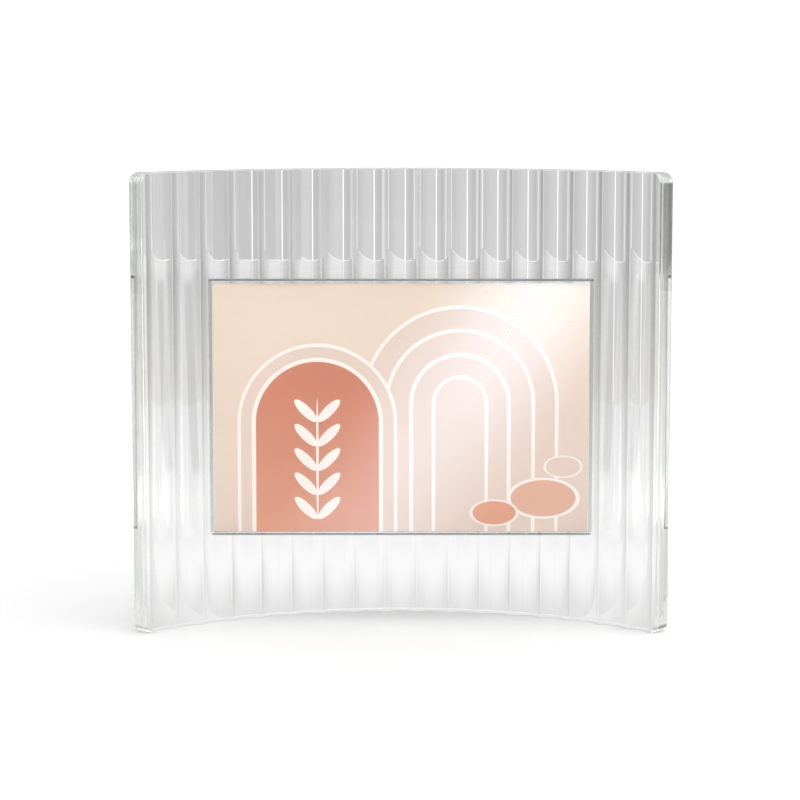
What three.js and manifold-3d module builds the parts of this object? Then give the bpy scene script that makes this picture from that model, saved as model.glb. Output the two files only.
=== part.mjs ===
// A free-standing photo frame of clear acrylic. A tall wall, curved in plan and fluted on its
// hollow side, carries a flat pocket of two clear sheets in which a standard print stands.
// Millimetres, +Z up. The frame stands on Z = 0 and its hollow, fluted side faces -Y.
import * as THREE from "three";
import { mergeVertices } from "three/addons/utils/BufferGeometryUtils.js";
import Module from "manifold-3d";

// Curved wall
const WALL_HEIGHT = 185.5;
const WALL_THICKNESS = 8; // from the ridges between the flutes to the plain back
const RIDGE_RADIUS = 142; // radius of the circle that all the ridges touch
const FLUTE_COUNT = 17;
const FLUTE_PITCH = 13.25; // ridge to ridge
const FLUTE_DEPTH = 2.5;
const RIDGE_LAND = 0.6; // flat left on each ridge
const END_LAND = 1.8; // plain strip between the last flute and the end face
const END_FILLET = 0.8; // easing of the two upright edges of each end face
const CORNER_RADIUS = 4.4; // rounding of the wall's four corners
const RIM_FILLET = 0.4; // easing along the top and bottom edges

// Print and its pocket
const PRINT_WIDTH = 152.4; // a standard 6 by 4 inch print
const PRINT_HEIGHT = 101.6;
const PRINT_THICKNESS = 0.3;
const PRINT_SIDE_CLEARANCE = 0.3; // between the print and each side strip
const PRINT_FACE_CLEARANCE = 0.2; // between the print and each sheet
const STRIP_WIDTH = 1.3; // spacer strips round the print
const SHEET_THICKNESS = 2;
const SHEET_EASING = 0.2; // polished edges of the sheets
const SHEET_ABOVE_PRINT = 1.8;
const POCKET_FOOT = 37.3; // height of the pocket's lower edge above the table

// Adhesive beads between the pocket and the wall
const SEAT_GAP = 0.8; // least distance from the pocket's back to the wall
const BEAD_GAP = 0.3; // between a bead and the flute that it lies in
const BEAD_WIDTH = 4.5;
const BEAD_INSET = 2; // from the pocket's side edge to the bead
const BEAD_END_INSET = 4; // from the pocket's top and lower edges to the bead

// Facets
const FLUTE_STEPS = 12;
const BACK_STEPS = 68;
const FILLET_STEPS = 4;
const CORNER_STEPS = 8;
const RIM_STEPS = 2;
const CUT_MARGIN = 1; // how far a cutter reaches past the faces that it cuts

const wasm = await Module();
wasm.setup();

const clearAcrylic = new THREE.MeshStandardMaterial({
  color: 0xe6ecec,
  roughness: 0.05,
  metalness: 0,
  transparent: true,
  opacity: 0.35,
});
const clearAdhesive = new THREE.MeshStandardMaterial({
  color: 0xeef0ee,
  roughness: 0.2,
  metalness: 0,
  transparent: true,
  opacity: 0.5,
});
const photoPaper = new THREE.MeshStandardMaterial({
  color: 0xecd8c8,
  roughness: 0.4,
  metalness: 0,
});

// Angles round the wall are measured from its middle, growing towards +X.
const fluteAngle = 2 * Math.asin(FLUTE_PITCH / (2 * RIDGE_RADIUS));
const landAngle = 2 * Math.asin(RIDGE_LAND / (2 * RIDGE_RADIUS));
const endAngle = (FLUTE_COUNT * fluteAngle) / 2 + END_LAND / RIDGE_RADIUS;
const backRadius = RIDGE_RADIUS + WALL_THICKNESS;

const pocketWidth = PRINT_WIDTH + 2 * (PRINT_SIDE_CLEARANCE + STRIP_WIDTH);
const pocketHeight = STRIP_WIDTH + PRINT_HEIGHT + SHEET_ABOVE_PRINT;
const slotGap = PRINT_THICKNESS + 2 * PRINT_FACE_CLEARANCE;

function polar(radius, angle) {
  return new THREE.Vector2(radius * Math.sin(angle), radius * Math.cos(angle));
}

function mirrored(points) {
  return points.map((point) => new THREE.Vector2(-point.x, point.y)).reverse();
}

// Points of an arc about a centre, from one angle to another.
function arc(centre, radius, fromAngle, toAngle, steps) {
  return Array.from({ length: steps + 1 }, (_, i) => {
    const angle = THREE.MathUtils.lerp(fromAngle, toAngle, i / steps);
    return polar(radius, angle).add(centre);
  });
}

function solidOf(geometry) {
  const bare = geometry.clone();
  bare.deleteAttribute("normal");
  bare.deleteAttribute("uv");
  const merged = mergeVertices(bare);
  return new wasm.Manifold(
    new wasm.Mesh({
      numProp: 3,
      vertProperties: merged.attributes.position.array,
      triVerts: new Uint32Array(merged.index.array),
    }),
  );
}

function geometryOf(solid) {
  const { vertProperties, triVerts } = solid.getMesh();
  const geometry = new THREE.BufferGeometry();
  geometry.setAttribute("position", new THREE.BufferAttribute(vertProperties, 3));
  geometry.setIndex(new THREE.BufferAttribute(triVerts, 1));
  geometry.computeVertexNormals();
  return geometry;
}

function piece(name, geometry, material) {
  const mesh = new THREE.Mesh(geometry, material);
  mesh.name = name;
  return mesh;
}

// The fluted side in plan, from the left end to the right: each flute is an arc whose chord lies
// between two ridge lands, and the straight steps from arc to arc are the lands.
function flutedSide() {
  const halfSpan = (fluteAngle - landAngle) / 2;
  const halfChord = RIDGE_RADIUS * Math.sin(halfSpan);
  const fluteRadius = (halfChord ** 2 + FLUTE_DEPTH ** 2) / (2 * FLUTE_DEPTH);
  const sweep = Math.asin(halfChord / fluteRadius);
  const centreRadius = RIDGE_RADIUS * Math.cos(halfSpan) + FLUTE_DEPTH - fluteRadius;
  const flutes = Array.from({ length: FLUTE_COUNT }, (_, i) => {
    const middle = (i - (FLUTE_COUNT - 1) / 2) * fluteAngle;
    const centre = polar(centreRadius, middle);
    return arc(centre, fluteRadius, middle - sweep, middle + sweep, FLUTE_STEPS);
  });
  return flutes.flat();
}

// The right end in plan, front to back: the end face with its two eased edges.
function rightEnd() {
  const along = polar(1, endAngle);
  const outward = new THREE.Vector2(along.y, -along.x);
  const at = (inset, radius) =>
    along.clone().multiplyScalar(radius).addScaledVector(outward, -inset);
  const frontCentre = at(END_FILLET, RIDGE_RADIUS + END_FILLET);
  const backCentre = at(END_FILLET, backRadius - END_FILLET);
  const quarter = Math.PI / 2;
  return [
    ...arc(frontCentre, END_FILLET, endAngle + 2 * quarter, endAngle + quarter, FILLET_STEPS),
    ...arc(backCentre, END_FILLET, endAngle + quarter, endAngle, FILLET_STEPS),
  ];
}

// Cuts one corner of the wall round. The cutter is the waste outside the corner's arc, carried
// through the thickness of the wall. side is 1 at the right end, and level is 1 at the top.
function cornerWaste(side, level) {
  const waste = new THREE.Shape();
  const quarter = Math.PI / 2;
  const rounding = arc(
    new THREE.Vector2(-CORNER_RADIUS, WALL_HEIGHT / 2 - CORNER_RADIUS),
    CORNER_RADIUS,
    0,
    quarter,
    CORNER_STEPS,
  );
  const outline = [
    ...rounding,
    new THREE.Vector2(CUT_MARGIN, WALL_HEIGHT / 2 - CORNER_RADIUS),
    new THREE.Vector2(CUT_MARGIN, WALL_HEIGHT / 2 + CUT_MARGIN),
    new THREE.Vector2(-CORNER_RADIUS, WALL_HEIGHT / 2 + CUT_MARGIN),
  ];
  waste.setFromPoints(outline.map((point) => new THREE.Vector2(point.x, level * point.y)));
  const depth = WALL_THICKNESS + 2 * CUT_MARGIN;
  const geometry = new THREE.ExtrudeGeometry(waste, { depth, bevelEnabled: false });
  geometry.translate(0, 0, -depth / 2);
  const out = new THREE.Vector3(side * Math.cos(endAngle), -Math.sin(endAngle), 0);
  const up = new THREE.Vector3(0, 0, 1);
  const through = new THREE.Vector3().crossVectors(out, up);
  const middle = polar(RIDGE_RADIUS + WALL_THICKNESS / 2, endAngle);
  const place = new THREE.Matrix4().makeBasis(out, up, through);
  place.setPosition(side * middle.x, middle.y, WALL_HEIGHT / 2);
  return geometry.applyMatrix4(place);
}

function wallGeometry(front) {
  const end = rightEnd();
  const back = arc(new THREE.Vector2(), backRadius, endAngle, -endAngle, BACK_STEPS);
  const profile = new THREE.Shape([...front, ...end, ...back.slice(1, -1), ...mirrored(end)]);
  const geometry = new THREE.ExtrudeGeometry(profile, {
    depth: WALL_HEIGHT - 2 * RIM_FILLET,
    bevelThickness: RIM_FILLET,
    bevelSize: RIM_FILLET,
    bevelOffset: -RIM_FILLET,
    bevelSegments: RIM_STEPS,
  });
  geometry.translate(0, 0, RIM_FILLET);
  let wall = solidOf(geometry);
  for (const side of [1, -1]) {
    for (const level of [1, -1]) {
      wall = wall.subtract(solidOf(cornerWaste(side, level)));
    }
  }
  return geometryOf(wall);
}

// The stretch of a line in plan between two places along X, with its ends cut there.
function stretch(points, fromX, toX) {
  const kept = [];
  for (let i = 1; i < points.length; i++) {
    const a = points[i - 1];
    const b = points[i];
    for (const cut of [fromX, toX]) {
      const share = (cut - a.x) / (b.x - a.x);
      if (share > 0 && share < 1) kept.push(a.clone().lerp(b, share));
    }
    if (b.x >= fromX && b.x <= toX) kept.push(b);
  }
  return kept;
}

// A flat rectangle standing upright, centred on X, with its lower edge at Z = 0 and its back at Y = 0.
function uprightSheet(width, height, thickness, easing) {
  const outline = new THREE.Shape([
    new THREE.Vector2(-width / 2, 0),
    new THREE.Vector2(width / 2, 0),
    new THREE.Vector2(width / 2, height),
    new THREE.Vector2(-width / 2, height),
  ]);
  const geometry = new THREE.ExtrudeGeometry(outline, {
    depth: thickness - 2 * easing,
    bevelEnabled: easing > 0,
    bevelThickness: easing,
    bevelSize: easing,
    bevelOffset: -easing,
    bevelSegments: 1,
  });
  geometry.translate(0, 0, easing);
  return geometry.rotateX(Math.PI / 2);
}

// The pocket: two sheets held apart by three strips, open at the top. Its back is at Y = 0.
function pocket() {
  const group = new THREE.Group();
  const sheet = uprightSheet(pocketWidth, pocketHeight, SHEET_THICKNESS, SHEET_EASING);
  const back = piece("pocket_back_sheet", sheet, clearAcrylic);
  const front = piece("pocket_front_sheet", sheet.clone(), clearAcrylic);
  front.position.y = -(SHEET_THICKNESS + slotGap);
  group.add(back, front);

  const bottom = piece(
    "bottom_spacer_strip",
    uprightSheet(pocketWidth, STRIP_WIDTH, slotGap, 0),
    clearAcrylic,
  );
  bottom.position.y = -SHEET_THICKNESS;
  group.add(bottom);
  for (const [name, side] of [["left_spacer_strip", -1], ["right_spacer_strip", 1]]) {
    const strip = piece(
      name,
      uprightSheet(STRIP_WIDTH, pocketHeight - STRIP_WIDTH, slotGap, 0),
      clearAcrylic,
    );
    strip.position.set((side * (pocketWidth - STRIP_WIDTH)) / 2, -SHEET_THICKNESS, STRIP_WIDTH);
    group.add(strip);
  }

  const print = piece(
    "photo_print",
    uprightSheet(PRINT_WIDTH, PRINT_HEIGHT, PRINT_THICKNESS, 0),
    photoPaper,
  );
  print.position.set(0, -SHEET_THICKNESS - PRINT_FACE_CLEARANCE, STRIP_WIDTH);
  group.add(print);
  return group;
}

// A bead fills the space between the pocket's back and the flute behind its side edge.
function bondBead(name, front, seat, side) {
  const outer = pocketWidth / 2 - BEAD_INSET;
  const flute = stretch(front, outer - BEAD_WIDTH, outer);
  const section = [
    ...flute.map((point) => new THREE.Vector2(point.x, point.y - BEAD_GAP)),
    new THREE.Vector2(flute.at(-1).x, seat),
    new THREE.Vector2(flute[0].x, seat),
  ];
  const bead = new THREE.ExtrudeGeometry(new THREE.Shape(side > 0 ? section : mirrored(section)), {
    depth: pocketHeight - 2 * BEAD_END_INSET,
    bevelEnabled: false,
  });
  const mesh = piece(name, bead, clearAdhesive);
  mesh.position.z = POCKET_FOOT + BEAD_END_INSET;
  return mesh;
}

const front = flutedSide();
const wall = piece("fluted_wall", wallGeometry(front), clearAcrylic);

// The pocket stands as far back in the hollow as the ridges and flutes behind it allow.
const behindPocket = stretch(front, -pocketWidth / 2, pocketWidth / 2);
const seat = Math.min(...behindPocket.map((point) => point.y)) - SEAT_GAP;
const holder = pocket();
holder.position.set(0, seat, POCKET_FOOT);

// The wall is drawn about the centre of its curve, and the frame's origin is under its middle.
const frame = new THREE.Group();
frame.add(
  wall,
  holder,
  bondBead("left_bond_bead", front, seat, -1),
  bondBead("right_bond_bead", front, seat, 1),
);
wall.geometry.computeBoundingBox();
const { min, max } = wall.geometry.boundingBox;
frame.position.y = -(min.y + max.y) / 2;

const photoFrame = new THREE.Group();
photoFrame.add(frame);

export default photoFrame;
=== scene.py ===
"""Looks of a free-standing clear photo frame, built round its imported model.

A tall wall of clear acrylic, curved in plan and fluted on its hollow side, carries a flat clear pocket with
a landscape print in it. Lengths are in millimetres and turn to metres where a mesh is made.
"""

import math

import bpy
import numpy as np
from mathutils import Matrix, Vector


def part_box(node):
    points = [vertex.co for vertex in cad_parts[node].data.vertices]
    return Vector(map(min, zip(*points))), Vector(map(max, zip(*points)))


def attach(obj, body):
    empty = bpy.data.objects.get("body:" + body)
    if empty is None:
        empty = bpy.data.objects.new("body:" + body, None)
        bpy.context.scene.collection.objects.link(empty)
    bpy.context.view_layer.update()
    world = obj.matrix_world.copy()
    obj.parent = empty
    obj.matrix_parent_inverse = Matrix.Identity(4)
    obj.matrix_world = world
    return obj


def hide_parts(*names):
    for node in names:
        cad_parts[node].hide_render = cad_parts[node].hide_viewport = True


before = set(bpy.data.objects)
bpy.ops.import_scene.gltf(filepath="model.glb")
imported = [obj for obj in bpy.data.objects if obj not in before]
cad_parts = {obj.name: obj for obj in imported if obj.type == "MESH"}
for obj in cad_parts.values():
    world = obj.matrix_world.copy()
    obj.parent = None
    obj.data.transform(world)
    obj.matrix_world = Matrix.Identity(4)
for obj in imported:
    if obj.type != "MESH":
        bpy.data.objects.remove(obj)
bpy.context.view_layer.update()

MM = 0.001

# The wall
WALL_HEIGHT = 185.5
WALL_THICKNESS = 8.0
RIDGE_RADIUS = 142.0
FLUTE_COUNT = 17
FLUTE_PITCH = 13.25
FLUTE_DEPTH = 2.5
RIDGE_LAND = 0.6
END_LAND = 1.8
END_FILLET = 0.8
CORNER_RADIUS = 4.4
RIM_FILLET = 0.4

# Fineness of the curves
FLUTE_STEPS = 40
RIDGE_STEPS = 8
LAND_STEPS = 4
END_STEPS = 10
FILLET_STEPS = 6
BEAD_STEPS = 15
FLANK_STEPS = 8
SEAT_STEPS = 9
FAN_STEPS = 41
FAN_RINGS = 6

# Narrow bands that keep flat faces flat beside a rounded edge: their width on the wall and on outlines, and
# their width on plates as a multiple of the rounding
HOLD = 0.2
HOLD_SHARE = 1.25

# The pocket and the print
SHEET_EDGE = 0.8
INNER_EDGE = 0.1
SHEET_CORNER = 1.05
STRIP_EDGE = 0.08
STRIP_CORNER = 0.15
BEAD_EDGE = 0.6
BEAD_WAIST = 0.35
PRINT_EDGE = 0.04
PRINT_CORNER = 0.1
WETTED = 0.02

# Shares of a face's outward direction, along one axis, at which a sheet's edge turns dark grey, as painted
# shade, where it faces up or down, and pale, as painted light, where it faces sideways
SHADE_PAINTED_ABOVE = 0.35
SHADE_PAINTED_BELOW = -0.6
LIGHT_PAINTED_BESIDE = 0.97
INKED_AHEAD = -0.7

# Worked out from the lengths above
FLUTE_ANGLE = 2 * math.asin(FLUTE_PITCH / (2 * RIDGE_RADIUS))
LAND_ANGLE = 2 * math.asin(RIDGE_LAND / (2 * RIDGE_RADIUS))
HALF_SPAN = (FLUTE_ANGLE - LAND_ANGLE) / 2
HALF_CHORD = RIDGE_RADIUS * math.sin(HALF_SPAN)
FLUTE_RADIUS = (HALF_CHORD**2 + FLUTE_DEPTH**2) / (2 * FLUTE_DEPTH)
FLUTE_SWEEP = math.asin(HALF_CHORD / FLUTE_RADIUS)
FLUTE_CENTRE = RIDGE_RADIUS * math.cos(HALF_SPAN) + FLUTE_DEPTH - FLUTE_RADIUS
RIDGE_TURN = FLUTE_SWEEP - FLUTE_ANGLE / 2
RIDGE_ROUND = RIDGE_RADIUS * math.sin(LAND_ANGLE / 2) / math.sin(RIDGE_TURN)
RIDGE_CENTRE = RIDGE_RADIUS * math.cos(LAND_ANGLE / 2) + RIDGE_ROUND * math.cos(RIDGE_TURN)
BACK_RADIUS = RIDGE_RADIUS + WALL_THICKNESS
MIDDLE_RADIUS = RIDGE_RADIUS + WALL_THICKNESS / 2
END_ANGLE = FLUTE_COUNT * FLUTE_ANGLE / 2 + END_LAND / RIDGE_RADIUS
ARC_CENTRE_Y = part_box("fluted_wall")[1][1] / MM - BACK_RADIUS


# Meshes


def closed_skin(name, rings):
    """A closed mesh from a grid of points in millimetres: each row is a ring, and neighbouring rings are
    joined by four-sided faces. The first and last ring are filled with strips that join each point to the
    one opposite, counted from the ring's start and from its end. The rings run the other way round if the
    volume comes out negative, so that the faces point outwards."""
    rows, columns = rings.shape[:2]
    middle = rings.mean(axis=(0, 1))
    corner = rings[:-1] - middle
    beside = np.roll(rings, -1, axis=1)[:-1] - middle
    above = rings[1:] - middle
    if np.einsum("ijk,ijk->", np.cross(corner, beside), above) < 0:
        rings = rings[:, ::-1]
    row = np.arange(rows - 1)[:, None] * columns
    here = np.arange(columns)[None, :]
    after = np.roll(here, -1, axis=1)
    corners = [row + here, row + after, row + columns + after, row + columns + here]
    sides = np.stack(corners, axis=-1).reshape(-1, 4)
    near = np.arange(columns // 2 - 1)
    far = columns - 1 - near
    first = np.stack([far, far - 1, near + 1, near], axis=-1)
    last = first[:, ::-1] + (rows - 1) * columns
    faces = np.concatenate([sides, first, last])
    mesh = bpy.data.meshes.new(name)
    mesh.from_pydata((rings.reshape(-1, 3) * MM).tolist(), [], faces.tolist())
    mesh.polygons.foreach_set("use_smooth", np.ones(len(mesh.polygons), dtype=bool))
    mesh.update()
    piece = bpy.data.objects.new(name, mesh)
    bpy.context.scene.collection.objects.link(piece)
    return piece


def open_skin(name, points):
    """A mesh from a grid of points in millimetres, with four-sided faces between neighbours, left open at
    its rim. The studio's floor and cards are made so."""
    rows, columns = points.shape[:2]
    start = (np.arange(rows - 1)[:, None] * columns + np.arange(columns - 1)[None, :]).reshape(-1)
    faces = np.stack([start, start + 1, start + columns + 1, start + columns], axis=-1)
    mesh = bpy.data.meshes.new(name)
    mesh.from_pydata((points.reshape(-1, 3) * MM).tolist(), [], faces.tolist())
    mesh.update()
    piece = bpy.data.objects.new(name, mesh)
    bpy.context.scene.collection.objects.link(piece)
    return piece


def soft_corners(radius):
    """Points of a rectangle with its four corners rounded by quarter circles, anticlockwise from the left
    side. The first array says for each point whether it belongs to the low side, 0, or the high side, 1, of
    both axes. The second says how far from those sides it lies: along a quarter circle one axis goes as the
    radius times one less a cosine, while the other goes back along the same values."""
    turn = np.linspace(0, np.pi / 2, FILLET_STEPS + 1)
    inward = np.concatenate([[0], radius * (1 - np.cos(turn)), [radius + HOLD]])
    outward = inward[::-1]
    across = np.concatenate([inward, -outward, -inward, outward])
    upward = np.concatenate([outward, inward, -outward, -inward])
    corner = np.repeat(np.arange(4), len(inward))
    sides = np.stack([np.isin(corner, (1, 2)), np.isin(corner, (2, 3))], axis=-1)
    return sides.astype(float), np.stack([across, upward], axis=-1)


def quarter_draw(distance, radius):
    """How far a rounded edge draws a surface in, at a distance from its end: nothing beyond the radius, and
    nearer than that the radius less the height of a circle of that radius, so it is the whole radius at the
    end itself."""
    left = np.clip(radius - distance, 0, radius)
    return radius - np.sqrt(radius**2 - left**2)


def turned(points, angle):
    """Plan points turned clockwise by an angle about the centre of the wall's curve."""
    x, y = points[:, 0], points[:, 1]
    across = x * math.cos(angle) + y * math.sin(angle)
    return np.stack([across, y * math.cos(angle) - x * math.sin(angle)], axis=-1)


def fluted_line():
    """Right half of the wall's hollow side in plan, from the middle flute's middle to the last ridge's top,
    about the centre of the curve. A flute is an arc that is hollow towards the centre, a ridge is a small
    arc that is round towards it, and both have the same direction where they meet."""
    hollow = np.linspace(-FLUTE_SWEEP, FLUTE_SWEEP, FLUTE_STEPS, endpoint=False)
    crest = np.linspace(-RIDGE_TURN, RIDGE_TURN, RIDGE_STEPS, endpoint=False)
    flute = np.stack([np.sin(hollow), np.cos(hollow)], axis=-1) * FLUTE_RADIUS + [0, FLUTE_CENTRE]
    ridge = np.stack([np.sin(crest), -np.cos(crest)], axis=-1) * RIDGE_ROUND + [0, RIDGE_CENTRE]
    step = np.concatenate([flute, turned(ridge, FLUTE_ANGLE / 2)])
    half = [turned(step, place * FLUTE_ANGLE) for place in range(FLUTE_COUNT // 2 + 1)]
    return np.concatenate(half)[FLUTE_STEPS // 2 : 1 - RIDGE_STEPS // 2]


def fluted_wall():
    """The wall as a rounded rectangle carried along an arc. At each angle the rectangle runs in radius from
    the fluted side to the plain back and in height from the foot to the top. Towards both ends a quarter
    circle draws it in across its thickness, for the upright edges, and a larger one draws it in from the
    top and the foot, for the four round corners."""
    line = fluted_line()
    fillet = END_FILLET * (1 - np.sin(np.linspace(0, np.pi / 2, END_STEPS)))
    land = np.concatenate([np.linspace(END_LAND, END_FILLET, LAND_STEPS)[1:-1], fillet])
    across, ahead = line[:, 0], line[:, 1]
    angle = np.concatenate([np.arctan2(across, ahead), END_ANGLE - np.arcsin(land / MIDDLE_RADIUS)])
    hollow = np.concatenate([np.hypot(across, ahead), np.full(len(land), RIDGE_CENTRE - RIDGE_ROUND)])
    to_end = MIDDLE_RADIUS * np.sin(END_ANGLE - angle)
    thinned = quarter_draw(to_end, END_FILLET)
    lowered = quarter_draw(to_end, CORNER_RADIUS)
    # One more ring just inside the rim of the end face keeps that face flat
    angle = np.append(angle, END_ANGLE)
    hollow = np.append(hollow, hollow[-1])
    thinned = np.append(thinned, END_FILLET + HOLD)
    lowered = np.append(lowered, CORNER_RADIUS + HOLD)
    angle = np.concatenate([-angle[:0:-1], angle])
    halves = (hollow, thinned, lowered)
    hollow, thinned, lowered = (np.concatenate([half[:0:-1], half]) for half in halves)
    low = np.stack([hollow + thinned, lowered], axis=-1)
    high = np.stack([BACK_RADIUS - thinned, WALL_HEIGHT - lowered], axis=-1)
    sides, inset = soft_corners(RIM_FILLET)
    section = low[:, None] + sides * (high - low)[:, None] + inset
    radius, height = section[..., 0], section[..., 1]
    around = angle[:, None]
    place = [radius * np.sin(around), radius * np.cos(around) + ARC_CENTRE_Y, height]
    return closed_skin("fluted_acrylic_wall", np.stack(place, axis=-1))


def eased_plate(name, outline, low, high, easing, along):
    """A flat outline carried along a straight path from low to high, on the axis that along names. Near
    each end a quarter circle, whose radius easing gives for both, draws the outline in along its own inward
    direction, which rounds the edges of the end faces. A narrow band on both sides of each rounding keeps
    the faces flat."""
    ahead = np.roll(outline, -1, axis=0) - np.roll(outline, 1, axis=0)
    inward = np.stack([-ahead[:, 1], ahead[:, 0]], axis=-1)
    inward /= np.linalg.norm(inward, axis=-1, keepdims=True)
    turn = np.linspace(0, np.pi / 2, FILLET_STEPS + 1)
    first, last = easing
    near = np.concatenate([[first * HOLD_SHARE], first * (1 - np.sin(turn)), [0]])
    far = np.concatenate([[0], last * (1 - np.sin(turn[::-1])), [last * HOLD_SHARE]])
    drawn = np.concatenate([near, far])
    rise = np.concatenate([[0], first * (1 - np.cos(turn)), [first * HOLD_SHARE]])
    fall = np.concatenate([[last * HOLD_SHARE], last * (1 - np.cos(turn[::-1])), [0]])
    way = np.concatenate([low + rise, high - fall])
    outlines = outline + drawn[:, None, None] * inward
    rings = np.insert(outlines, along, np.broadcast_to(way[:, None], outlines.shape[:2]), axis=-1)
    return closed_skin(name, rings)


def rectangle(low, high, radius):
    """Outline of a rectangle with rounded corners, anticlockwise."""
    sides, inset = soft_corners(radius)
    low, high = np.array(low), np.array(high)
    return low + sides * (high - low) + inset


def node_box(node):
    """Lowest and highest corner of a CAD node in millimetres."""
    low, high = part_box(node)
    return np.array(low) / MM, np.array(high) / MM


def sheet(name, node, easing):
    """A cut sheet of acrylic: its upright outline, with small round corners, carried through its
    thickness."""
    low, high = node_box(node)
    outline = rectangle(low[[0, 2]], high[[0, 2]], SHEET_CORNER)
    return eased_plate(name, outline, low[1], high[1], easing, 1)


def strip(name, node):
    """A thin strip between the sheets: its upright outline carried through the gap, and a hair into both
    sheets, as a solvent bond leaves no air between them."""
    low, high = node_box(node)
    outline = rectangle(low[[0, 2]], high[[0, 2]], STRIP_CORNER)
    return eased_plate(name, outline, low[1] - WETTED, high[1] + WETTED, (STRIP_EDGE,) * 2, 1)


def bead(name, node, side):
    """A bead of adhesive: its outline in plan is the line of the flute behind it, the back of the rear
    sheet, and two hollow flanks between them that go in as half a sine wave. It is carried upwards with
    round ends."""
    low, high = node_box(node)
    line = fluted_line() + [0, ARC_CENTRE_Y]
    inner, outer = sorted((abs(low[0]), abs(high[0])))
    across = np.linspace(outer, inner, BEAD_STEPS)
    flute = np.interp(across, line[:, 0], line[:, 1]) + WETTED
    seat = low[1] - WETTED
    rise = np.linspace(0, 1, FLANK_STEPS)
    waist = BEAD_WAIST * np.sin(np.pi * rise)
    outer_flank = np.stack([outer - waist, seat + rise * (flute[0] - seat)], axis=-1)
    inner_flank = np.stack([inner + waist, flute[-1] + rise * (seat - flute[-1])], axis=-1)
    foot = np.stack([np.linspace(inner, outer, SEAT_STEPS), np.full(SEAT_STEPS, seat)], axis=-1)
    top = np.stack([across, flute], axis=-1)
    outline = np.concatenate([foot[:-1], outer_flank[:-1], top[:-1], inner_flank[:-1]])
    if side < 0:
        outline = (outline * [-1, 1])[::-1]
    return eased_plate(name, outline, low[2], high[2], (BEAD_EDGE,) * 2, 2)


def photo_print():
    """The print: an upright rectangle, its corners rounded by a hair, carried through the thickness of the
    paper."""
    low, high = node_box("photo_print")
    outline = rectangle(low[[0, 2]], high[[0, 2]], PRINT_CORNER)
    return eased_plate("satin_print", outline, low[1], high[1], (PRINT_EDGE,) * 2, 1)


# Materials


def colour(code, alpha=1.0):
    """Linear colour of an sRGB hex code: each channel below 0.04045 is divided by 12.92, and above it the
    sum with 0.055, divided by 1.055, is raised to the power 2.4."""
    part = np.array([int(code[i : i + 2], 16) for i in (1, 3, 5)]) / 255
    linear = np.where(part <= 0.04045, part / 12.92, ((part + 0.055) / 1.055) ** 2.4)
    return (*linear.tolist(), alpha)


def add(tree, kind, inputs=(), stops=(), **settings):
    """Adds one node with its settings. An input is a plain value or another node's socket, which gets
    linked, and stops are the places and colours of a colour ramp."""
    node = tree.nodes.new(kind)
    for name, value in settings.items():
        setattr(node, name, value)
    for name, value in dict(inputs).items():
        if isinstance(value, bpy.types.NodeSocket):
            tree.links.new(value, node.inputs[name])
        else:
            node.inputs[name].default_value = value
    for i, (place, value) in enumerate(stops):
        ramp = node.color_ramp.elements
        stop = ramp[i] if i < 2 else ramp.new(place)
        stop.position = place
        stop.color = value
    return node


def blank(name):
    """A material with an empty node tree."""
    material = bpy.data.materials.new(name)
    material.use_nodes = True
    material.node_tree.nodes.clear()
    return material, material.node_tree


def polished_acrylic():
    """Clear cast acrylic, moulded and polished. It bends light strongly, so the eye reads it by dark and
    light lines at its edges. Across its thickness it is colourless, and only light that has come a long way
    inside it is a darker, faintly green grey. Moulding leaves a slow ripple some 25 mm long, and handling
    leaves patches that are a touch less glossy."""
    material, tree = blank("clear cast acrylic, moulded and polished")
    place = add(tree, "ShaderNodeTexCoord").outputs["Object"]
    ripple = add(tree, "ShaderNodeTexNoise", {"Vector": place, "Scale": 1 / (25 * MM), "Detail": 1.0})
    bump = add(
        tree,
        "ShaderNodeBump",
        {"Height": ripple.outputs["Fac"], "Strength": 1.0, "Distance": 0.01 * MM},
    )
    patches = add(tree, "ShaderNodeTexNoise", {"Vector": place, "Scale": 1 / (40 * MM), "Detail": 3.0})
    gloss = add(
        tree,
        "ShaderNodeMapRange",
        {"Value": patches.outputs["Fac"], "From Min": 0.5, "From Max": 0.8, "To Min": 0.0, "To Max": 0.02},
    )
    shader = add(
        tree,
        "ShaderNodeBsdfPrincipled",
        {
            "Base Color": colour("#ffffff"),
            "Roughness": gloss.outputs["Result"],
            "IOR": 1.49,
            "Transmission Weight": 1.0,
            "Normal": bump.outputs["Normal"],
        },
    )
    tint = add(tree, "ShaderNodeVolumeAbsorption", {"Color": colour("#dfe3dc"), "Density": 9.0})
    surfaces = {"Surface": shader.outputs["BSDF"], "Volume": tint.outputs["Volume"]}
    add(tree, "ShaderNodeOutputMaterial", surfaces)
    return material


def cut_edge(name, code):
    """Cut edge of a cast acrylic sheet, matt with fine saw marks some 0.5 mm apart. It scatters light, so
    the eye reads it as a dull line round the clear sheet. The grey that code gives paints light or shade
    into it: the sheets' edges get a dark grey copy as painted shade and a pale copy as painted light."""
    material, tree = blank(name)
    place = add(tree, "ShaderNodeTexCoord").outputs["Object"]
    marks = add(tree, "ShaderNodeTexNoise", {"Vector": place, "Scale": 1 / (0.5 * MM), "Detail": 2.0})
    bump = add(
        tree,
        "ShaderNodeBump",
        {"Height": marks.outputs["Fac"], "Strength": 0.3, "Distance": 0.05 * MM},
    )
    shader = add(
        tree,
        "ShaderNodeBsdfPrincipled",
        {
            "Base Color": colour(code),
            "Roughness": 0.45,
            "IOR": 1.49,
            "Transmission Weight": 0.25,
            "Normal": bump.outputs["Normal"],
        },
    )
    add(tree, "ShaderNodeOutputMaterial", {"Surface": shader.outputs["BSDF"]})
    return material


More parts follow.
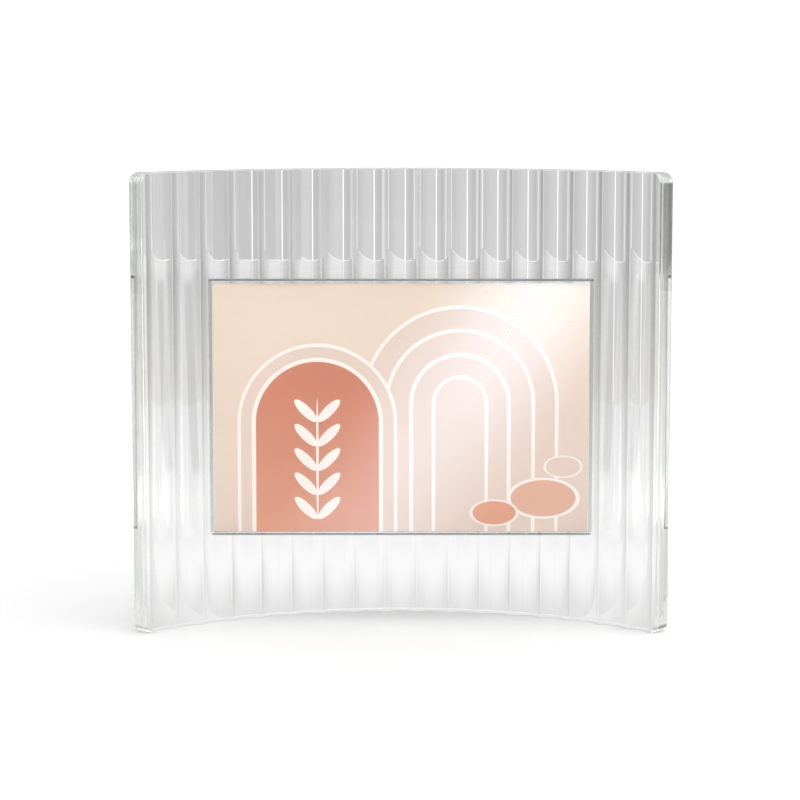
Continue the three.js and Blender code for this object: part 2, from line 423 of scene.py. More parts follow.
def bonded_strip_painted_shade():
    """Clear acrylic strip bonded on both faces with solvent. The bond holds fine bubbles about 0.3 mm apart,
    which roughen it, and the strip is tinted grey as painted shade, so the eye reads it as a soft grey band
    beside the print."""
    material, tree = blank("acrylic strip, solvent bonded, grey as painted shade")
    place = add(tree, "ShaderNodeTexCoord").outputs["Object"]
    bubbles = add(tree, "ShaderNodeTexNoise", {"Vector": place, "Scale": 1 / (0.3 * MM), "Detail": 2.0})
    gloss = add(
        tree,
        "ShaderNodeMapRange",
        {"Value": bubbles.outputs["Fac"], "From Min": 0.3, "From Max": 0.8, "To Min": 0.02, "To Max": 0.2},
    )
    shader = add(
        tree,
        "ShaderNodeBsdfPrincipled",
        {
            "Base Color": colour("#d6d8d5"),
            "Roughness": gloss.outputs["Result"],
            "IOR": 1.49,
            "Transmission Weight": 1.0,
        },
    )
    add(tree, "ShaderNodeOutputMaterial", {"Surface": shader.outputs["BSDF"]})
    return material


def clear_adhesive():
    """Clear acrylic adhesive, cured in place. It is a little softer to the eye than the sheets, and holds
    small bubbles about 0.6 mm across."""
    material, tree = blank("clear acrylic adhesive, cured in place")
    place = add(tree, "ShaderNodeTexCoord").outputs["Object"]
    cells = add(tree, "ShaderNodeTexVoronoi", {"Vector": place, "Scale": 1 / (2.5 * MM)}, feature="F1")
    bubble = add(
        tree,
        "ShaderNodeMapRange",
        {"Value": cells.outputs["Distance"], "From Min": 0.06, "From Max": 0.14},
    )
    bump = add(
        tree,
        "ShaderNodeBump",
        {"Height": bubble.outputs["Result"], "Strength": 0.6, "Distance": 0.1 * MM},
    )
    haze = add(tree, "ShaderNodeTexNoise", {"Vector": place, "Scale": 1 / (3 * MM), "Detail": 2.0})
    gloss = add(
        tree,
        "ShaderNodeMapRange",
        {"Value": haze.outputs["Fac"], "From Min": 0.3, "From Max": 0.8, "To Min": 0.04, "To Max": 0.16},
    )
    shader = add(
        tree,
        "ShaderNodeBsdfPrincipled",
        {
            "Base Color": colour("#fafaf8"),
            "Roughness": gloss.outputs["Result"],
            "IOR": 1.48,
            "Transmission Weight": 1.0,
            "Normal": bump.outputs["Normal"],
        },
    )
    add(tree, "ShaderNodeOutputMaterial", {"Surface": shader.outputs["BSDF"]})
    return material


def paper_surface(tree, place, ink):
    """Satin photo paper under a colour of ink: a soft sheen over a tooth about 0.15 mm across."""
    tooth = add(tree, "ShaderNodeTexNoise", {"Vector": place, "Scale": 1 / 0.15, "Detail": 1.0})
    bump = add(
        tree,
        "ShaderNodeBump",
        {"Height": tooth.outputs["Fac"], "Strength": 0.04, "Distance": 0.02 * MM},
    )
    gloss = add(
        tree,
        "ShaderNodeMapRange",
        {"Value": tooth.outputs["Fac"], "From Min": 0.2, "From Max": 0.8, "To Min": 0.38, "To Max": 0.5},
    )
    shader = add(
        tree,
        "ShaderNodeBsdfPrincipled",
        {
            "Base Color": ink,
            "Roughness": gloss.outputs["Result"],
            "IOR": 1.5,
            "Specular IOR Level": 0.4,
            "Normal": bump.outputs["Normal"],
        },
    )
    add(tree, "ShaderNodeOutputMaterial", {"Surface": shader.outputs["BSDF"]})


def in_millimetres(tree, middle):
    """Object coordinates in millimetres about a middle point."""
    place = add(tree, "ShaderNodeTexCoord").outputs["Object"]
    settings = {"Vector": place, "Scale": (1 / MM,) * 3, "Location": tuple(-middle)}
    return add(tree, "ShaderNodeMapping", settings).outputs["Vector"]


# Inks, and the motifs of the print in millimetres about its middle. An arch has its middle, its spring line,
# its reach and the start of each ring. An oval has its middle, its half width and its half height.
PEACH = "#ecd9c6"
BLUSH = "#e5d0c2"
ROSE = "#e2b39c"
CLAY = "#cf8267"
CLAY_LIGHT = "#e0a184"
CREAM = "#f8f1ea"
FAR = 10000.0
CLAY_REACH = 25.0
INNER_RINGS = [(0, BLUSH), (10, CREAM), (11.4, BLUSH), (19, CREAM), (20.6, BLUSH)]
OUTER_RINGS = [(29, CREAM), (30.4, BLUSH), (38.5, CREAM), (40, None)]
CLAY_RINGS = [(0, CLAY), (CLAY_REACH, CREAM), (26.6, BLUSH), (31, CREAM), (32.4, None)]
ARCHES = [
    (24.0, 2.0, 42.0, INNER_RINGS + OUTER_RINGS),
    (-34.0, -6.0, 40.0, CLAY_RINGS),
]

# The last arch pales between two heights, and a sprig of leaf pairs stands in it
PALE_FROM = 12.0
PALE_TO = -50.0
PALE_MOST = 0.9
SPRIG_FOOT = -60.0
LEAF_RISES = (19.0, 29.0, 39.0, 49.0, 59.0)
LEAF_ASIDE = 4.7
LEAF_LEAN = math.radians(-45.0)
LEAF_SIZE = (6.2, FAR, 2.0)

# The sprig's stem and the pebbles, with a rim that starts at a share of their size
OVALS = [
    (-34.0, -21.0, 0.5, 25.0, CREAM),
    (58.0, -37.0, 15.0, 8.5, ROSE),
    (38.0, -43.0, 10.0, 5.5, CLAY_LIGHT),
    (66.0, -24.0, 8.0, 4.6, BLUSH),
]
RIM_START = 0.88


def printed_paper():
    """Satin photo paper, printed by inkjet in warm matt tones, with an arch design: broad arches in blush
    and clay with thin cream lines, a cream sprig and a few pebbles. Each motif is a distance from its
    middle, in shares of its own half width and half height, that a stepped ramp turns into bands of
    colour."""
    material, tree = blank("satin photo paper, inkjet printed")
    low, high = node_box("photo_print")
    place = in_millimetres(tree, (low + high) / 2)
    height = add(tree, "ShaderNodeSeparateXYZ", {"Vector": place}).outputs["Z"]
    clear = colour(CREAM, 0.0)

    # Ground, a little deeper towards the foot
    half = (high[2] - low[2]) / 2
    fall = add(tree, "ShaderNodeMapRange", {"Value": height, "From Min": -half, "From Max": half})
    ground = [(0.0, colour(BLUSH)), (1.0, colour(PEACH))]
    ink = add(tree, "ShaderNodeValToRGB", {"Fac": fall.outputs["Result"]}, ground).outputs["Color"]

    # Arches: half circles on straight legs, in rings measured out from the arch's middle line
    for across, spring, reach, rings in ARCHES:
        settings = {"Vector": place, "Location": (across, 0.0, spring), "Scale": (reach, FAR, reach)}
        about = add(tree, "ShaderNodeMapping", settings, vector_type="TEXTURE").outputs["Vector"]
        legs = add(tree, "ShaderNodeVectorMath", {0: about, 1: (-FAR, 0.0, 0.0)}, operation="MAXIMUM")
        share = add(tree, "ShaderNodeVectorMath", {0: legs.outputs["Vector"]}, operation="LENGTH")
        stops = [(start / reach, colour(code) if code else clear) for start, code in rings]
        ramp = add(tree, "ShaderNodeValToRGB", {"Fac": share.outputs["Value"]}, stops)
        ramp.color_ramp.interpolation = "CONSTANT"
        settings = {0: ramp.outputs["Alpha"], 6: ink, 7: ramp.outputs["Color"]}
        ink = add(tree, "ShaderNodeMix", settings, data_type="RGBA").outputs[2]

    # The last arch pales towards its foot
    settings = {"Value": height, "From Min": PALE_FROM, "From Max": PALE_TO, "To Max": PALE_MOST}
    pale = add(tree, "ShaderNodeMapRange", settings).outputs["Result"]
    settings = {0: share.outputs["Value"], 1: CLAY_REACH / reach}
    inside = add(tree, "ShaderNodeMath", settings, operation="LESS_THAN")
    paling = add(tree, "ShaderNodeMath", {0: inside.outputs[0], 1: pale}, operation="MULTIPLY")
    settings = {0: paling.outputs[0], 6: ink, 7: colour(CLAY_LIGHT)}
    ink = add(tree, "ShaderNodeMix", settings, data_type="RGBA").outputs[2]

    # A sprig in that arch: five pairs of oval leaves, mirrored about the stem
    settings = {0: place, 1: (across, 0.0, SPRIG_FOOT)}
    from_stem = add(tree, "ShaderNodeVectorMath", settings, operation="SUBTRACT").outputs["Vector"]
    mirrored = add(tree, "ShaderNodeVectorMath", {0: from_stem}, operation="ABSOLUTE").outputs["Vector"]
    nearest = FAR
    for rise in LEAF_RISES:
        settings = {"Vector": mirrored, "Location": (LEAF_ASIDE, 0.0, rise), "Scale": LEAF_SIZE}
        settings["Rotation"] = (0.0, LEAF_LEAN, 0.0)
        leaf = add(tree, "ShaderNodeMapping", settings, vector_type="TEXTURE").outputs["Vector"]
        share = add(tree, "ShaderNodeVectorMath", {0: leaf}, operation="LENGTH").outputs["Value"]
        nearest = add(tree, "ShaderNodeMath", {0: share, 1: nearest}, operation="MINIMUM").outputs[0]
    leaves = add(tree, "ShaderNodeMath", {0: nearest, 1: 1.0}, operation="LESS_THAN").outputs[0]
    settings = {0: leaves, 6: ink, 7: colour(CREAM)}
    ink = add(tree, "ShaderNodeMix", settings, data_type="RGBA").outputs[2]

    # Pebbles with a cream rim, in part over each other, and the sprig's stem
    for across, rise, wide, tall, code in OVALS:
        settings = {"Vector": place, "Location": (across, 0.0, rise), "Scale": (2 * wide, FAR, 2 * tall)}
        about = add(tree, "ShaderNodeMapping", settings, vector_type="TEXTURE").outputs["Vector"]
        share = add(tree, "ShaderNodeVectorMath", {0: about}, operation="LENGTH").outputs["Value"]
        stops = [(0.0, colour(code)), (RIM_START / 2, colour(CREAM)), (0.5, clear)]
        ramp = add(tree, "ShaderNodeValToRGB", {"Fac": share}, stops)
        ramp.color_ramp.interpolation = "CONSTANT"
        settings = {0: ramp.outputs["Alpha"], 6: ink, 7: ramp.outputs["Color"]}
        ink = add(tree, "ShaderNodeMix", settings, data_type="RGBA").outputs[2]

    paper_surface(tree, place, ink)
    return material


def paper_back():
    """The plain back and cut edges of the photo paper: warm white, faintly clouded as pressed fibre is."""
    material, tree = blank("photo paper back, resin coated")
    low, high = node_box("photo_print")
    place = in_millimetres(tree, (low + high) / 2)
    cloud = add(tree, "ShaderNodeTexNoise", {"Vector": place, "Scale": 1 / 6, "Detail": 3.0})
    stops = [(0.3, colour("#efece5")), (0.7, colour("#f7f5f0"))]
    white = add(tree, "ShaderNodeValToRGB", {"Fac": cloud.outputs["Fac"]}, stops)
    paper_surface(tree, place, white.outputs["Color"])
    return material


# The object's pieces

acrylic = polished_acrylic()
adhesive = clear_adhesive()
bonded = bonded_strip_painted_shade()
front_sheet = sheet("front_acrylic_sheet", "pocket_front_sheet", (SHEET_EDGE, INNER_EDGE))
rear_sheet = sheet("rear_acrylic_sheet", "pocket_back_sheet", (INNER_EDGE, SHEET_EDGE))

stand_pieces = [
    (fluted_wall(), "fluted_wall", "clear_acrylic", acrylic),
    (front_sheet, "pocket_front_sheet", "clear_acrylic", acrylic),
    (rear_sheet, "pocket_back_sheet", "clear_acrylic", acrylic),
    # The side strips take this grey-tinted acrylic, painted shade beside the print; the bottom strip stays
    # clear
    (strip("left_edge_strip", "left_spacer_strip"), "left_spacer_strip", "clear_acrylic", bonded),
    (strip("right_edge_strip", "right_spacer_strip"), "right_spacer_strip", "clear_acrylic", bonded),
    (strip("bottom_edge_strip", "bottom_spacer_strip"), "bottom_spacer_strip", "clear_acrylic", acrylic),
    (bead("left_adhesive_bead", "left_bond_bead", -1), "left_bond_bead", "clear_adhesive", adhesive),
    (bead("right_adhesive_bead", "right_bond_bead", 1), "right_bond_bead", "clear_adhesive", adhesive),
]
for piece, node, slot, material in stand_pieces:
    piece.data.materials.append(material)
    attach(piece, "stand")
    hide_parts(node)


def facing(piece):
    """Outward directions of a piece's faces, one row each."""
    rows = np.empty(len(piece.data.polygons) * 3)
    piece.data.polygons.foreach_get("normal", rows)
    return rows.reshape(-1, 3)


# One matt edge in two greys by which way a face points: dark grey on the edges that face up or down is
# painted shade that draws dark lines along the pocket's top and foot, and pale on the upright sides is
# painted light
edge_painted_shade = cut_edge("cast acrylic edge, dark grey as painted shade", "#5e5e5e")
edge_painted_light = cut_edge("cast acrylic edge, pale as painted light", "#f4f4f4")
for piece in (front_sheet, rear_sheet):
    piece.data.materials.append(edge_painted_shade)
    piece.data.materials.append(edge_painted_light)
    away = facing(piece)
    painted_shade = (away[:, 2] > SHADE_PAINTED_ABOVE) | (away[:, 2] < SHADE_PAINTED_BELOW)
    kind = np.where(np.abs(away[:, 0]) > LIGHT_PAINTED_BESIDE, 2, np.where(painted_shade, 1, 0))
    piece.data.polygons.foreach_set("material_index", kind.astype(np.int32))

print_piece = photo_print()
print_piece.data.materials.append(printed_paper())
print_piece.data.materials.append(paper_back())
other_side = facing(print_piece)[:, 1] > INKED_AHEAD
print_piece.data.polygons.foreach_set("material_index", other_side.astype(np.int32))
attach(print_piece, "print")
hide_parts("photo_print")


# The studio

scene = bpy.context.scene
scene.view_settings.view_transform = "Standard"
scene.cycles.use_denoising = True
scene.cycles.max_bounces = 64
scene.cycles.glossy_bounces = 40
scene.cycles.transmission_bounces = 40

world = bpy.data.worlds.new("white studio")
scene.world = world
world.use_nodes = True
world.node_tree.nodes.clear()
sky = add(world.node_tree, "ShaderNodeBackground", {"Color": colour("#ffffff"), "Strength": 1.12})
add(world.node_tree, "ShaderNodeOutputWorld", {"Surface": sky.outputs["Background"]})


# Glow of the studio's walls, by degrees clockwise from straight behind the frame
WALL_GREYS = [
    (-180, 0.3), (-130, 0.3), (-100, 0.1), (-65, 0.1), (-50, 0.2), (-40, 0.45), (-30, 0.51), (-23, 0.535),
    (-18, 0.61), (-13, 0.61), (-8, 0.655), (-3, 0.69), (2, 0.69), (8, 0.63), (12, 0.56), (14, 0.56),
    (17, 0.66), (21, 0.68), (23, 0.58), (26, 0.45), (29, 0.41), (40, 0.42), (58, 1.6), (95, 1.6),
    (110, 0.4), (180, 0.3),
]

# Glow of the table, as a grey or in red, green and blue: by millimetres behind the frame, by millimetres
# from a line left of its middle, and by degrees about the centre of the wall's curve
TABLE_SHIFT = 60.0
TABLE_LENGTH = 1900.0
TABLE_WIDTH = 900.0
TABLE_TURN = 90.0
TABLE_BEHIND = [
    (20, 0.94), (65, 0.95), (100, 0.96), (300, 0.94), (400, 0.88), (600, 0.84), (675, 0.825),
    (685, 0.755, 0.755, 0.73), (850, 0.745, 0.735, 0.7), (950, 0.74, 0.74, 0.73), (1200, 0.73), (1650, 0.74),
    (1800, 0.83), (1900, 0.84),
]
TABLE_BESIDE = [
    (0, 1.0), (180, 1.0), (250, 0.93), (350, 0.84), (500, 0.74), (725, 0.66), (900, 0.6),
]
TABLE_AROUND = [
    (0, 1.0), (20, 1.0), (29, 0.925), (40, 0.8), (47, 0.69), (53, 0.62), (62, 4.0), (90, 4.5),
]

# Soft shadow down the middle of the table, in millimetres: where it is narrow and wide with its half width
# there, where it begins and ends, how its sides soften as a share of the half width, and what it leaves of
# the glow
SHADOW_NEAR = (400.0, 38.0)
SHADOW_FAR = (1400.0, 140.0)
SHADOW_START = (370.0, 410.0)
SHADOW_END = (1600.0, 1700.0)
SHADOW_SIDES = (0.7, 1.5)
SHADOW_LEAVES = 0.86

# Glow of the card under the table: by millimetres behind the frame, and by degrees either side of a straight
# line from a viewer in front of it. Its dimming close to the frame is painted shade at the wall's foot.
UNDER_LENGTH = 2600.0
UNDER_BEHIND = [
    (1300, 0.76), (1430, 0.77), (1490, 0.835), (1548, 0.905), (1600, 0.945), (1640, 0.968), (1710, 0.968),
    (1760, 0.94), (1800, 0.915), (2600, 0.915),
]
UNDER_TURN = 40.0
UNDER_ASIDE = [
    (0.0, 1.0), (11.0, 1.0), (15.0, 0.965), (18.6, 0.925), (22.2, 0.905), (26.0, 0.875), (40.0, 0.82),
]
VIEWER_DISTANCE = 1074.0

# Slanting band of skylight in the front sheet, in millimetres across and up the card that it comes from
GLARE_LEAN = math.radians(35.2)
GLARE_MIDDLE = (29.1, 73.5)
GLARE_HALF_WIDTH = 48.0
GLARE_HALF_LENGTH = 57.0
GLARE_LEVELS = (3.6, 9.4)
SKYLIGHT = "#c8e4ff"

# Places of the studio's floor and cards, in millimetres and degrees
FLOOR_LEVEL = -0.1
FLOOR_REACH = 20000.0
FRONT_TABLE_LEVEL = 0.2
TABLE_LEVEL = 0.3
TABLE_REACH = 4000.0
UNDER_LEVEL = -300.0
GAP_ANGLE = 30.0
GAP_REACH = 330.0
FAN_ANGLE = 100.0
FAN_MIDDLE = 0.5
TABLE_CLEARANCE = 0.5
STUDIO_LOW = (-1650.0, -2600.0)
STUDIO_HIGH = (2200.0, 2500.0)
STUDIO_CORNER = 500.0
STUDIO_HEIGHT = 3000.0
CARD_TOP = 1500.0
STRIP_FOOT = 96.0
BACKDROP_DISTANCE = 1953.0
BACKDROP_SLANT = 0.145
BACKDROP_STANDOFF = 5.0
SOFTBOX_LOW = 900.0
SOFTBOX_HIGH = 2200.0
SOFTBOX_LEAN = 585.0

# Key light and camera, in millimetres and degrees. The key is as wide as a bright ceiling, for soft shadows.
KEY_WIDTH = 90.0
KEY_TILT = 27.0
KEY_TURN = 30.7
CAMERA_PLACE = (-0.4, -1073.86, 231.4)
CAMERA_TILT = 7.4


def flat(low, high, level):
    """A level rectangle between two plan points."""
    points = np.empty((2, 2, 3))
    points[..., 0], points[..., 1] = np.meshgrid([low[0], high[0]], [low[1], high[1]])
    points[..., 2] = level
    return points


def floor_material():
    """Matt white paper sweep: plain and pale."""
    material, tree = blank("matt white paper sweep")
    shader = add(
        tree,
        "ShaderNodeBsdfPrincipled",
        {"Base Color": colour("#d0d0d0"), "Roughness": 0.9, "Specular IOR Level": 0.1},
    )
    add(tree, "ShaderNodeOutputMaterial", {"Surface": shader.outputs["BSDF"]})
    return material


def card(name, points, light, seen_by):
    """A studio card that glows by itself. Only the kinds of ray that seen_by names can see it, so it stays
    out of the picture and shows only in the acrylic. light makes the glow from the card's own
    coordinates."""
    piece = open_skin(name, points)
    material, tree = blank(name)
    place = add(tree, "ShaderNodeTexCoord").outputs["Object"]
    axes = add(tree, "ShaderNodeSeparateXYZ", {"Vector": place})
    glow = add(tree, "ShaderNodeEmission", {"Color": light(tree, axes)})
    add(tree, "ShaderNodeOutputMaterial", {"Surface": glow.outputs["Emission"]})
    piece.data.materials.append(material)
    for kind in ("camera", "diffuse", "glossy", "transmission", "volume_scatter", "shadow"):
        setattr(piece, "visible_" + kind, kind in seen_by)


def wall_glow(tree, axes):
    """Walls by direction from the frame: mid grey behind it, dark to the left and in front, bright to the
    right."""
    turn = add(tree, "ShaderNodeMath", {0: axes.outputs["X"], 1: axes.outputs["Y"]}, operation="ARCTAN2")
    settings = {"Value": turn.outputs[0], "From Min": -math.pi, "From Max": math.pi}
    share = add(tree, "ShaderNodeMapRange", settings)
    stops = [(0.5 + degrees / 360, (grey, grey, grey, 1.0)) for degrees, grey in WALL_GREYS]
    ramp = add(tree, "ShaderNodeValToRGB", {"Fac": share.outputs["Result"]}, stops)
    return ramp.outputs["Color"]


def even_glow(level):
    """The same grey all over a card."""
    return lambda tree, axes: (level, level, level, 1.0)


def graded(tree, scales):
    """Product of colour ramps. Each scale has a place as a share of a length, that length, and the stops
    along it with one grey or with red, green and blue."""
    glow = (1.0, 1.0, 1.0)
    for share, length, tones in scales:
        stops = [(place / length, (*np.broadcast_to(tone, 3).tolist(), 1.0)) for place, *tone in tones]
        ramp = add(tree, "ShaderNodeValToRGB", {"Fac": share}, stops)
        product = {0: ramp.outputs["Color"], 1: glow}
        glow = add(tree, "ShaderNodeVectorMath", product, operation="MULTIPLY").outputs["Vector"]
    return glow


def table_shadow(tree, aside, behind):
    """What a soft shadow leaves of the table's glow. It lies along the table's middle, widens with distance,
    and comes and goes over a short stretch at either end."""
    settings = {"Value": behind, "From Min": SHADOW_NEAR[0] * MM, "From Max": SHADOW_FAR[0] * MM}
    settings |= {"To Min": SHADOW_NEAR[1] * MM, "To Max": SHADOW_FAR[1] * MM}
    width = add(tree, "ShaderNodeMapRange", settings).outputs["Result"]
    spread = add(tree, "ShaderNodeMath", {0: aside, 1: width}, operation="DIVIDE").outputs[0]
    settings = {"Value": spread, "From Min": SHADOW_SIDES[0], "From Max": SHADOW_SIDES[1]}
    settings |= {"To Min": 1.0, "To Max": 0.0}
    core = add(tree, "ShaderNodeMapRange", settings, interpolation_type="SMOOTHSTEP").outputs["Result"]
    settings = {"Value": behind, "From Min": SHADOW_START[0] * MM, "From Max": SHADOW_START[1] * MM}
    begun = add(tree, "ShaderNodeMapRange", settings).outputs["Result"]
    settings = {"Value": behind, "From Min": SHADOW_END[0] * MM, "From Max": SHADOW_END[1] * MM}
    settings |= {"To Min": 1.0, "To Max": 0.0}
    lasting = add(tree, "ShaderNodeMapRange", settings).outputs["Result"]
    stretch = add(tree, "ShaderNodeMath", {0: begun, 1: lasting}, operation="MULTIPLY").outputs[0]
    shadow = add(tree, "ShaderNodeMath", {0: core, 1: stretch}, operation="MULTIPLY").outputs[0]
    settings = {"Value": shadow, "To Min": 1.0, "To Max": SHADOW_LEAVES}
    return add(tree, "ShaderNodeMapRange", settings).outputs["Result"]


def table_glow(tree, axes):
    """The white table behind the frame. It falls off with distance, but for its far edge, and towards its
    sides. It dims round the wall's curve and is bright beside the wall's ends."""
    x, y = axes.outputs["X"], axes.outputs["Y"]
    aside = add(tree, "ShaderNodeMath", {0: x}, operation="ABSOLUTE").outputs[0]
    shifted = add(tree, "ShaderNodeMath", {0: x, 1: TABLE_SHIFT * MM}, operation="ADD").outputs[0]
    away = add(tree, "ShaderNodeMath", {0: shifted}, operation="ABSOLUTE").outputs[0]
    behind = add(tree, "ShaderNodeMath", {0: y, 1: TABLE_LENGTH * MM}, operation="DIVIDE").outputs[0]
    beside = add(tree, "ShaderNodeMath", {0: away, 1: TABLE_WIDTH * MM}, operation="DIVIDE").outputs[0]
    inwards = add(tree, "ShaderNodeMath", {0: y, 1: -ARC_CENTRE_Y * MM}, operation="ADD").outputs[0]
    turn = add(tree, "ShaderNodeMath", {0: aside, 1: inwards}, operation="ARCTAN2").outputs[0]
    whole = math.radians(TABLE_TURN)
    around = add(tree, "ShaderNodeMath", {0: turn, 1: whole}, operation="DIVIDE").outputs[0]
    scales = [
        (behind, TABLE_LENGTH, TABLE_BEHIND),
        (beside, TABLE_WIDTH, TABLE_BESIDE),
        (around, TABLE_TURN, TABLE_AROUND),
    ]
    product = {0: graded(tree, scales), 1: table_shadow(tree, aside, y)}
    return add(tree, "ShaderNodeVectorMath", product, operation="MULTIPLY").outputs["Vector"]


def glare_glow(tree, axes):
    """A slanting band of skylight with soft sides, brightest at its upper end."""
    x, z = axes.outputs["X"], axes.outputs["Z"]
    across = add(tree, "ShaderNodeCombineXYZ", {"X": x, "Y": z}).outputs["Vector"]
    middle = (GLARE_MIDDLE[0] * MM, GLARE_MIDDLE[1] * MM, 0.0)
    moved = add(tree, "ShaderNodeVectorMath", {0: across, 1: middle}, operation="SUBTRACT").outputs["Vector"]
    side = (math.cos(GLARE_LEAN), -math.sin(GLARE_LEAN), 0.0)
    aside = add(tree, "ShaderNodeVectorMath", {0: moved, 1: side}, operation="DOT_PRODUCT").outputs["Value"]
    way = (math.sin(GLARE_LEAN), math.cos(GLARE_LEAN), 0.0)
    along = add(tree, "ShaderNodeVectorMath", {0: moved, 1: way}, operation="DOT_PRODUCT").outputs["Value"]
    away = add(tree, "ShaderNodeMath", {0: aside}, operation="ABSOLUTE").outputs[0]
    settings = {"Value": away, "From Max": GLARE_HALF_WIDTH * MM, "To Min": 1.0, "To Max": 0.0}
    band = add(tree, "ShaderNodeMapRange", settings, interpolation_type="SMOOTHSTEP").outputs["Result"]
    settings = {"Value": along, "From Min": -GLARE_HALF_LENGTH * MM, "From Max": GLARE_HALF_LENGTH * MM}
    settings |= {"To Min": GLARE_LEVELS[0], "To Max": GLARE_LEVELS[1]}
    level = add(tree, "ShaderNodeMapRange", settings).outputs["Result"]
    strength = add(tree, "ShaderNodeMath", {0: band, 1: level}, operation="MULTIPLY").outputs[0]
    skylight = {0: colour(SKYLIGHT)[:3], "Scale": strength}
    return add(tree, "ShaderNodeVectorMath", skylight, operation="SCALE").outputs["Vector"]


def under_glow(tree, axes):
    """A pale card below the table, darker close to the frame, which is painted shade at the wall's foot, and
    darker to either side of a line from the viewer."""
    x, y = axes.outputs["X"], axes.outputs["Y"]
    behind = add(tree, "ShaderNodeMath", {0: y, 1: UNDER_LENGTH * MM}, operation="DIVIDE").outputs[0]
    aside = add(tree, "ShaderNodeMath", {0: x}, operation="ABSOLUTE").outputs[0]
    ahead = add(tree, "ShaderNodeMath", {0: y, 1: VIEWER_DISTANCE * MM}, operation="ADD").outputs[0]
    turn = add(tree, "ShaderNodeMath", {0: aside, 1: ahead}, operation="ARCTAN2").outputs[0]
    whole = math.radians(UNDER_TURN)
    around = add(tree, "ShaderNodeMath", {0: turn, 1: whole}, operation="DIVIDE").outputs[0]
    return graded(tree, [(behind, UNDER_LENGTH, UNDER_BEHIND), (around, UNDER_TURN, UNDER_ASIDE)])


def table_fan(start, end, near, far, height):
    """A flat fan about the centre of the wall's curve, between two angles in degrees and two distances."""
    turn = np.radians(np.linspace(start, end, FAN_STEPS))[:, None]
    reach = np.geomspace(near, far, FAN_RINGS)[None, :]
    level = np.full((FAN_STEPS, FAN_RINGS), height)
    return np.stack([reach * np.sin(turn), reach * np.cos(turn) + ARC_CENTRE_Y, level], axis=-1)


def upright(start, end, low, high):
    """A flat upright card between two plan points, from one height to another."""
    points = np.empty((2, 2, 3))
    points[..., :2] = [start, end]
    points[..., 2] = [[low], [high]]
    return points


def on_backdrop(across, ahead=0.0):
    """Plan point on the grey backdrop, which stands askew behind the frame and comes nearer to the
    right."""
    return across, BACKDROP_DISTANCE - BACKDROP_SLANT * across - ahead


def backdrop_card(left, right, high):
    """An upright card a little in front of the backdrop, from the floor up."""
    start = on_backdrop(left, BACKDROP_STANDOFF)
    end = on_backdrop(right, BACKDROP_STANDOFF)
    return upright(start, end, 0.0, high)


def studio_walls():
    """A rounded rectangle in plan, carried upwards from the floor."""
    plan = rectangle(STUDIO_LOW, STUDIO_HIGH, STUDIO_CORNER)
    plan = np.concatenate([plan, plan[:1]])
    height = np.array([0.0, STUDIO_HEIGHT])
    twice = np.broadcast_to(plan, (2, *plan.shape))
    levels = np.broadcast_to(height[:, None, None], (2, len(plan), 1))
    return np.concatenate([twice, levels], axis=-1)


def leaning_softbox():
    """An upright card in front of the frame, whose top leans back towards it."""
    points = upright((-1000, -2100), (1000, -2100), SOFTBOX_LOW, SOFTBOX_HIGH)
    points[1, :, 1] += SOFTBOX_LEAN
    return points


# The floor shows to the camera. Rays that have come through the acrylic see the table's cards in its place.
sweep = flat((-FLOOR_REACH, -FLOOR_REACH), (FLOOR_REACH, FLOOR_REACH), FLOOR_LEVEL)
floor = open_skin("studio_floor", sweep)
floor.data.materials.append(floor_material())
floor.visible_transmission = False

glass_only = ("transmission", "glossy")
through_glass = ("transmission",)
mirrored = ("glossy",)
near_wall = BACK_RADIUS + TABLE_CLEARANCE
backdrop = upright(on_backdrop(-1500), on_backdrop(1500), 0.0, STUDIO_HEIGHT)
table_left = table_fan(-FAN_ANGLE, -GAP_ANGLE, near_wall, GAP_REACH, TABLE_LEVEL)
table_right = table_fan(GAP_ANGLE, FAN_ANGLE, near_wall, GAP_REACH, TABLE_LEVEL)
table_behind = table_fan(-FAN_ANGLE, FAN_ANGLE, GAP_REACH, TABLE_REACH, TABLE_LEVEL)
table_under = flat((-3000, 200), (3000, UNDER_LENGTH), UNDER_LEVEL)
table_in_bay = table_fan(-FAN_ANGLE, FAN_ANGLE, FAN_MIDDLE, near_wall, FRONT_TABLE_LEVEL)
front_table = table_fan(FAN_ANGLE, 360 - FAN_ANGLE, FAN_MIDDLE, TABLE_REACH, FRONT_TABLE_LEVEL)
rear_softbox = upright((-1000, 1600), (1000, 1600), SOFTBOX_LOW, SOFTBOX_HIGH)
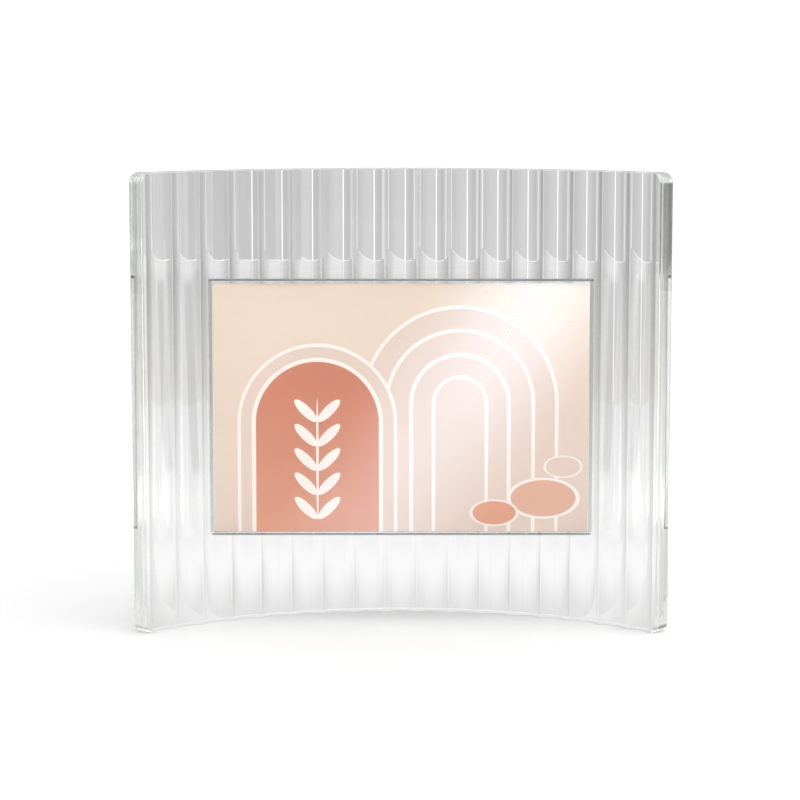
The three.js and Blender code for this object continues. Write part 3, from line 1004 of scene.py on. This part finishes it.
studio_cards = [
    # Grey surroundings, which give the flutes their tones
    ("studio_walls", studio_walls(), wall_glow, glass_only),
    ("backdrop", backdrop, wall_glow, glass_only),
    ("ceiling_card", flat((-2300, -2700), (2300, 2600), STUDIO_HEIGHT), even_glow(1.6), glass_only),
    # Strips of light, which draw white lines in the flutes, and flags that darken a part of the wall
    ("strip_card", upright((55, 680), (67, 680), STRIP_FOOT, CARD_TOP), even_glow(1.4), through_glass),
    ("low_strip", upright((56, 656), (67, 705), 0.0, STRIP_FOOT), even_glow(1.2), through_glass),
    ("grey_flag", upright((-80, 100), (-50, 100), 142.0, CARD_TOP), even_glow(0.6), through_glass),
    ("right_flag", upright((130, -24), (160, 60), 136.5, 230.0), even_glow(0.05), mirrored),
    ("left_strip", backdrop_card(-630, -585, CARD_TOP), even_glow(0.95), through_glass),
    ("right_strip", backdrop_card(600, 645, CARD_TOP), even_glow(0.95), through_glass),
    # The table, with a gap close behind the wall's middle through which a card under it shows
    ("table_left", table_left, table_glow, through_glass),
    ("table_right", table_right, table_glow, through_glass),
    ("table_behind", table_behind, table_glow, through_glass),
    ("table_under", table_under, under_glow, through_glass),
    ("table_in_bay", table_in_bay, even_glow(0.8), through_glass),
    ("front_table", front_table, even_glow(0.8), through_glass),
    # A thin glowing line along the backdrop's foot, a painted highlight
    ("backdrop_foot_highlight", backdrop_card(-500, 500, 1.4), even_glow(0.98), through_glass),
    # Light and shade in front, and softboxes that light the print and the floor through the acrylic
    ("glare_card", upright((-87, -158), (87, -158), 10.0, 128.0), glare_glow, mirrored),
    ("front_screen", upright((2000, -600), (-2000, -600), 0.0, STUDIO_HEIGHT), even_glow(0.1), mirrored),
    ("front_softbox", leaning_softbox(), even_glow(10.0), through_glass),
    ("rear_softbox", rear_softbox, even_glow(6.0), through_glass),
]
for name, points, light, seen_by in studio_cards:
    card(name, points, light, seen_by)

# The glare shows in the front sheet alone
glare_shows_in = bpy.data.collections.new("glare shows in")
glare_shows_in.objects.link(front_sheet)
bpy.data.objects["glare_card"].light_linking.receiver_collection = glare_shows_in

key = bpy.data.lights.new("key light", "SUN")
key.energy = 2.4
key.angle = math.radians(KEY_WIDTH)
key_light = bpy.data.objects.new("key light", key)
key_light.rotation_euler = (math.radians(KEY_TILT), math.radians(KEY_TURN), 0.0)
scene.collection.objects.link(key_light)

lens = bpy.data.cameras.new("camera")
lens.sensor_width = 36.0
lens.lens = 119.25
lens.clip_end = 100.0
camera = bpy.data.objects.new("camera", lens)
camera.location = [length * MM for length in CAMERA_PLACE]
camera.rotation_euler = (math.radians(90 - CAMERA_TILT), 0.0, 0.0)
scene.collection.objects.link(camera)
scene.camera = camera
